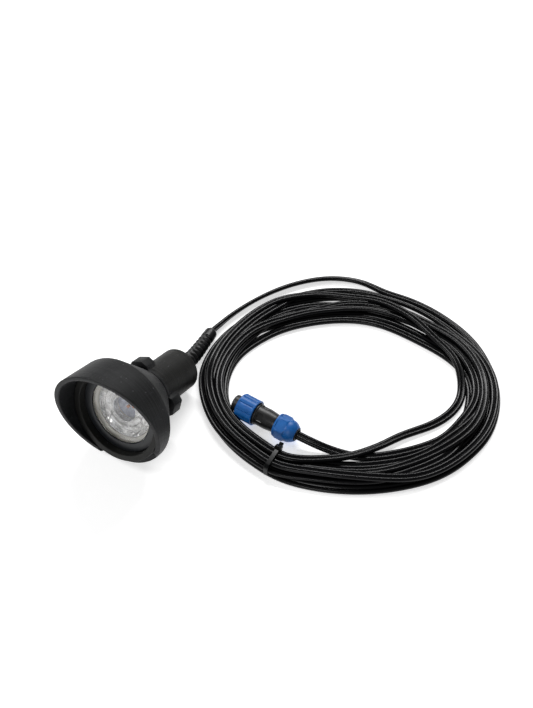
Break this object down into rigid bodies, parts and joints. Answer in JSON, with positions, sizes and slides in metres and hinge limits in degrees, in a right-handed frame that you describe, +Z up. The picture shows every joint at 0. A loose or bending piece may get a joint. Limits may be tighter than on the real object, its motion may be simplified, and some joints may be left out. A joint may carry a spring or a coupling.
{
  "type": "underwater pool light",
  "caption": "Underwater spot lamp with a turning glare hood, clear moulded lens and a tubular body, wired by a coiled flat flex to a waterproof screw connector.",
  "frame": {"origin": "on the floor under the middle of the lamp's own bounding box, cord and connector left out", "axes": "+Z up; -Y is the way the lamp shines, which is also tipped up by its tilt; +X is to the side where the coil lies"},
  "size_m": [0.2618, 0.2636, 0.085],
  "materials": {
    "printed_black": "printed in fine layers, matt",
    "moulded_black": "satin moulded",
    "ring_grey": "satin",
    "clear_glass": "clear with a moulded pattern",
    "clear_acrylic": "clear",
    "rubber_black": "matt",
    "flex_black": "satin sheath",
    "plug_blue": "satin moulded",
    "board_white": "satin",
    "led_amber": "soft phosphor",
    "driver_green": "lacquered board",
    "bare_aluminium": "turned",
    "brass": "bright",
    "copper": "lacquered copper wire"
  },
  "bodies": {
    "lamp": {"cable_coil": "flex_black", "cable_lead": "flex_black", "cable_tail": "flex_black", "cable_tie": "moulded_black", "collimator": "clear_acrylic", "connector_insert": "moulded_black", "connector_seal_ring": "rubber_black", "connector_shell": "moulded_black", "contact_sleeve_1": "brass", "contact_sleeve_2": "brass", "driver_board": "driver_green", "driver_capacitor": "rubber_black", "driver_inductor": "copper", "front_lens": "clear_glass", "gland_seal": "rubber_black", "heat_sink": "bare_aluminium", "hood_friction_ring": "rubber_black", "lamp_housing": "moulded_black", "led_board": "board_white", "led_chip_1": "led_amber", "led_chip_2": "led_amber", "led_chip_3": "led_amber", "lens_gasket": "rubber_black", "optic_holder": "board_white", "strain_relief": "rubber_black", "supply_wire_1": "rubber_black", "supply_wire_2": "rubber_black"},
    "visor_hood": {"visor_hood": "printed_black"},
    "lock_ring": {"lock_ring": "moulded_black"},
    "retaining_ring": {"retaining_ring": "ring_grey"},
    "coupling_ring": {"coupling_ring": "plug_blue"},
    "gland_nut": {"gland_nut": "plug_blue"}
  },
  "joints": [
    {"name": "hood_turn", "type": "hinge", "parent": "lamp", "child": "visor_hood", "pos_m": [0, -0.02974, 0.03935], "axis": [0, -0.9473, 0.3203], "continuous": true},
    {"name": "lock_ring_turn", "type": "hinge", "parent": "lamp", "child": "lock_ring", "pos_m": [0, 0.00152, 0.02878], "axis": [0, -0.9473, 0.3203], "continuous": true},
    {"name": "retaining_ring_turn", "type": "hinge", "parent": "lamp", "child": "retaining_ring", "pos_m": [0, -0.02595, 0.03807], "axis": [0, -0.9473, 0.3203], "continuous": true},
    {"name": "coupling_ring_turn", "type": "hinge", "parent": "lamp", "child": "coupling_ring", "pos_m": [0.06278, 0.03817, 0.00995], "axis": [-0.9986, 0.0523, 0], "continuous": true},
    {"name": "gland_nut_turn", "type": "hinge", "parent": "lamp", "child": "gland_nut", "pos_m": [0.09674, 0.03639, 0.00995], "axis": [-0.9986, 0.0523, 0], "continuous": true}
  ]
}
